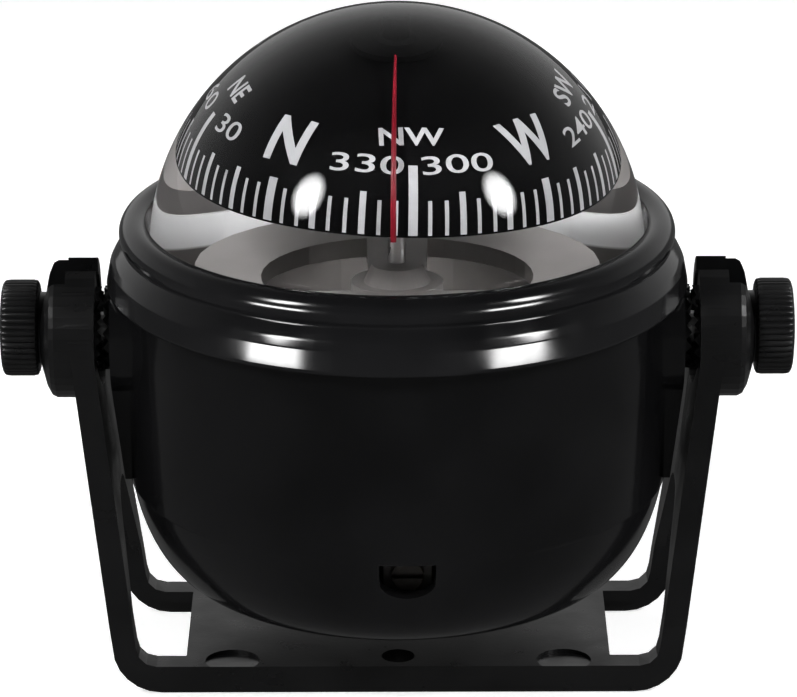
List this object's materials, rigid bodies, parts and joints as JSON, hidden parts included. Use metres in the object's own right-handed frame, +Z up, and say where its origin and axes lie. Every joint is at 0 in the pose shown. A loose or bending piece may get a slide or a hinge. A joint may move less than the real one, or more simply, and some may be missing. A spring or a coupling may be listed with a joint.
{
  "type": "binnacle compass",
  "caption": "Small bracket-mounted boat compass: a clear dome over a domed card in a black round housing that tilts between two slotted arms and is locked by hand knobs.",
  "frame": {"origin": "centre of the bracket's underside", "axes": "+Z up, -Y towards the front of the compass, +X along the tilt axis towards the right-hand knob"},
  "size_m": [0.102, 0.0744, 0.0871],
  "materials": {
    "black_gloss": "gloss",
    "black_satin": "satin gloss",
    "black_card": "matt, printed with a light scale",
    "grey_plastic": "matt moulded",
    "clear_acrylic": "clear, polished",
    "red_lubber": "gloss",
    "seal_rubber": "matt",
    "brass": "turned",
    "steel": "turned",
    "magnet_steel": "plain",
    "jewel": "polished",
    "float_white": "matt moulded",
    "compensator_brown": "matt moulded"
  },
  "bodies": {
    "bracket": {"mounting_bracket": "black_satin"},
    "housing": {"housing_body": "black_gloss", "top_cover": "black_gloss", "dome": "clear_acrylic", "dome_seal": "seal_rubber", "capsule_floor": "grey_plastic", "filler_plug": "brass", "diaphragm": "seal_rubber", "diaphragm_ring": "brass", "spider_frame": "grey_plastic", "pivot_pin": "steel", "crown_hub": "black_satin", "lubber_line": "red_lubber", "threaded_insert_left": "brass", "threaded_insert_right": "brass", "compensator_carrier": "grey_plastic", "carrier_screw_left": "steel", "carrier_screw_right": "steel"},
    "card": {"card_dial": "black_card", "card_float": "float_white", "jewel_cup": "jewel", "card_magnet_1": "magnet_steel", "card_magnet_2": "magnet_steel"},
    "compensator_front": {"compensator_screw_front": "compensator_brown", "compensator_magnet_front": "magnet_steel"},
    "compensator_side": {"compensator_screw_side": "compensator_brown", "compensator_magnet_side": "magnet_steel"},
    "washer_left": {"clamp_washer_left": "steel"},
    "knob_left": {"clamp_knob_left": "black_satin", "clamp_stud_left": "steel"},
    "washer_right": {"clamp_washer_right": "steel"},
    "knob_right": {"clamp_knob_right": "black_satin", "clamp_stud_right": "steel"}
  },
  "joints": [
    {"name": "housing_tilt", "type": "hinge", "parent": "bracket", "child": "housing", "pos_m": [0, 0, 0.0449], "axis": [1, 0, 0], "range_deg": [-22, 22]},
    {"name": "card_turn", "type": "hinge", "parent": "housing", "child": "card", "pos_m": [0, 0, 0.0554], "axis": [0, 0, 1], "continuous": true},
    {"name": "compensator_front_turn", "type": "hinge", "parent": "housing", "child": "compensator_front", "pos_m": [0.0012, -0.02, 0.0227], "axis": [0, 1, 0], "range_deg": [-180, 180]},
    {"name": "compensator_side_turn", "type": "hinge", "parent": "housing", "child": "compensator_side", "pos_m": [0.02, 0.0012, 0.0227], "axis": [1, 0, 0], "range_deg": [-180, 180]},
    {"name": "clamp_slide_left", "type": "slide", "parent": "housing", "child": "washer_left", "axis": [-1, 0, 0], "range_m": [0, 0.002]},
    {"name": "clamp_turn_left", "type": "hinge", "parent": "washer_left", "child": "knob_left", "pos_m": [-0.0445, 0, 0.0449], "axis": [-1, 0, 0], "range_deg": [0, 900]},
    {"name": "clamp_slide_right", "type": "slide", "parent": "housing", "child": "washer_right", "axis": [1, 0, 0], "range_m": [0, 0.002]},
    {"name": "clamp_turn_right", "type": "hinge", "parent": "washer_right", "child": "knob_right", "pos_m": [0.0445, 0, 0.0449], "axis": [1, 0, 0], "range_deg": [0, 900]}
  ],
  "couplings": [
    {"joint": "clamp_slide_left", "follows": "clamp_turn_left", "m_per_rad": 0.0001273},
    {"joint": "clamp_slide_right", "follows": "clamp_turn_right", "m_per_rad": 0.0001273}
  ]
}
